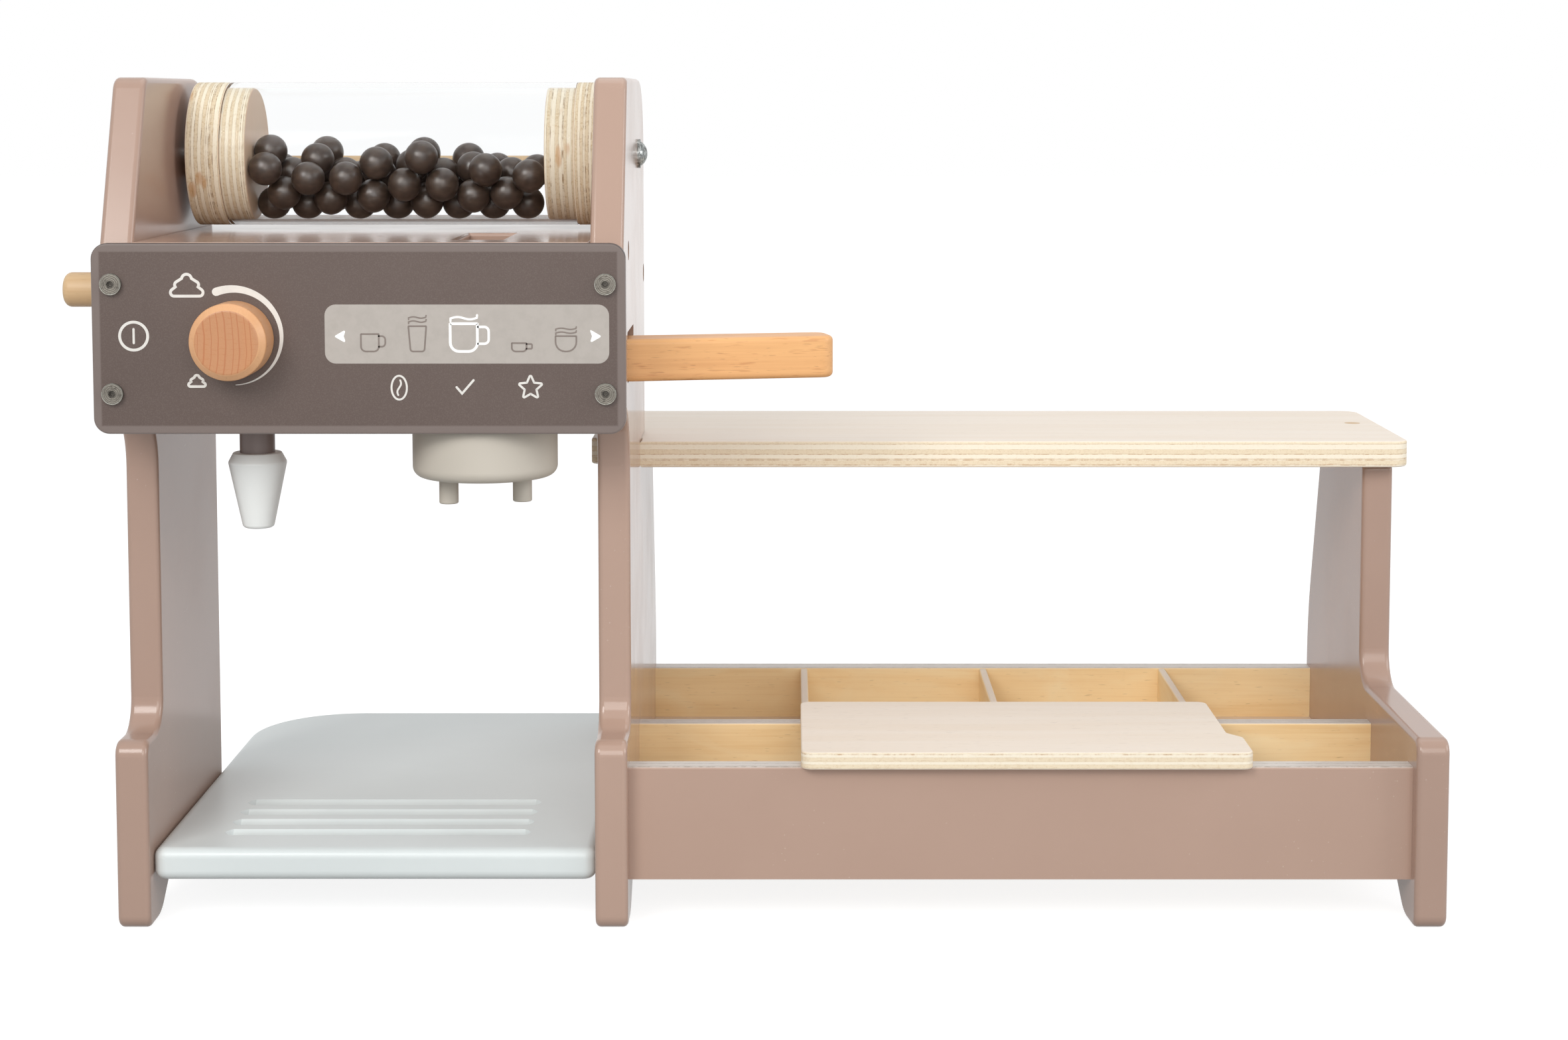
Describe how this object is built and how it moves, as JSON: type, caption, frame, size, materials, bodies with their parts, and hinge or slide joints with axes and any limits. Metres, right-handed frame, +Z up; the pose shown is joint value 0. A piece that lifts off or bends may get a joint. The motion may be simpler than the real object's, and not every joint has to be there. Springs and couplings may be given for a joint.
{
  "type": "toy coffee maker",
  "caption": "Painted wooden toy coffee maker with a turning bean drum, swinging brew lever, control knob, drip tray, capsule rack with a loose lid, and a shelf.",
  "frame": {"origin": "middle of the footprint, on the floor", "axes": "+X to the right seen from the front, +Y to the back, +Z up"},
  "size_m": [0.6404, 0.3282, 0.388],
  "materials": {
    "panel_paint": "semi-gloss paint",
    "pale_paint": "semi-gloss paint",
    "white_paint": "satin paint",
    "wand_paint": "satin paint",
    "cover_sheet": "frosted",
    "beech": "oiled",
    "birch": "clear lacquer",
    "inner_birch": "clear lacquer",
    "clear_tube": "clear polished",
    "dark_beads": "satin paint",
    "steel": "dull zinc"
  },
  "bodies": {
    "stand": {"left_side_panel": "panel_paint", "middle_side_panel": "panel_paint", "right_side_panel": "panel_paint", "head_top_board": "panel_paint", "head_bottom_board": "panel_paint", "head_back_board": "panel_paint", "head_rear_rail": "birch", "control_cover": "cover_sheet", "cover_screws": "steel", "knob_axle": "steel", "side_peg": "birch", "steam_wand_tube": "wand_paint", "steam_nozzle": "pale_paint", "drum_axle_pins": "steel", "axle_washers": "steel", "axle_caps": "steel", "coffee_beads": "dark_beads", "shelf_board": "birch", "shelf_screw": "steel", "shelf_plug": "birch", "drip_tray": "pale_paint", "rack_front_board": "panel_paint", "rack_middle_board": "inner_birch", "rack_back_board": "panel_paint", "rack_front_floor": "inner_birch", "rack_rear_floor": "inner_birch", "rack_divider_1": "inner_birch", "rack_divider_2": "inner_birch", "rack_divider_3": "inner_birch", "head_screws": "steel", "rack_screws": "steel", "tray_screws": "steel"},
    "bean_drum": {"drum_tube": "clear_tube", "drum_left_outer_disc": "birch", "drum_left_inner_disc": "birch", "drum_right_outer_disc": "birch", "drum_right_inner_disc": "birch"},
    "brewing_group": {"brew_lever": "beech", "lever_pivot_dowel": "beech", "brew_cup": "white_paint", "brew_spouts": "white_paint"},
    "control_knob": {"control_knob": "beech"},
    "rack_lid": {"rack_lid": "birch"}
  },
  "joints": [
    {"name": "drum_spin", "type": "hinge", "parent": "stand", "child": "bean_drum", "pos_m": [-0.176, -0.01385, 0.3517], "axis": [1, 0, 0], "continuous": true},
    {"name": "lever_swing", "type": "hinge", "parent": "stand", "child": "brewing_group", "pos_m": [-0.1248, -0.10585, 0.2493], "axis": [0, 0, 1], "range_deg": [0, 13.5]},
    {"name": "knob_turn", "type": "hinge", "parent": "stand", "child": "control_knob", "pos_m": [-0.2305, -0.14385, 0.2725], "axis": [0, -1, 0], "continuous": true},
    {"name": "lid_lift", "type": "slide", "parent": "stand", "child": "rack_lid", "axis": [0, 0, 1], "range_m": [0, 0.08]}
  ]
}
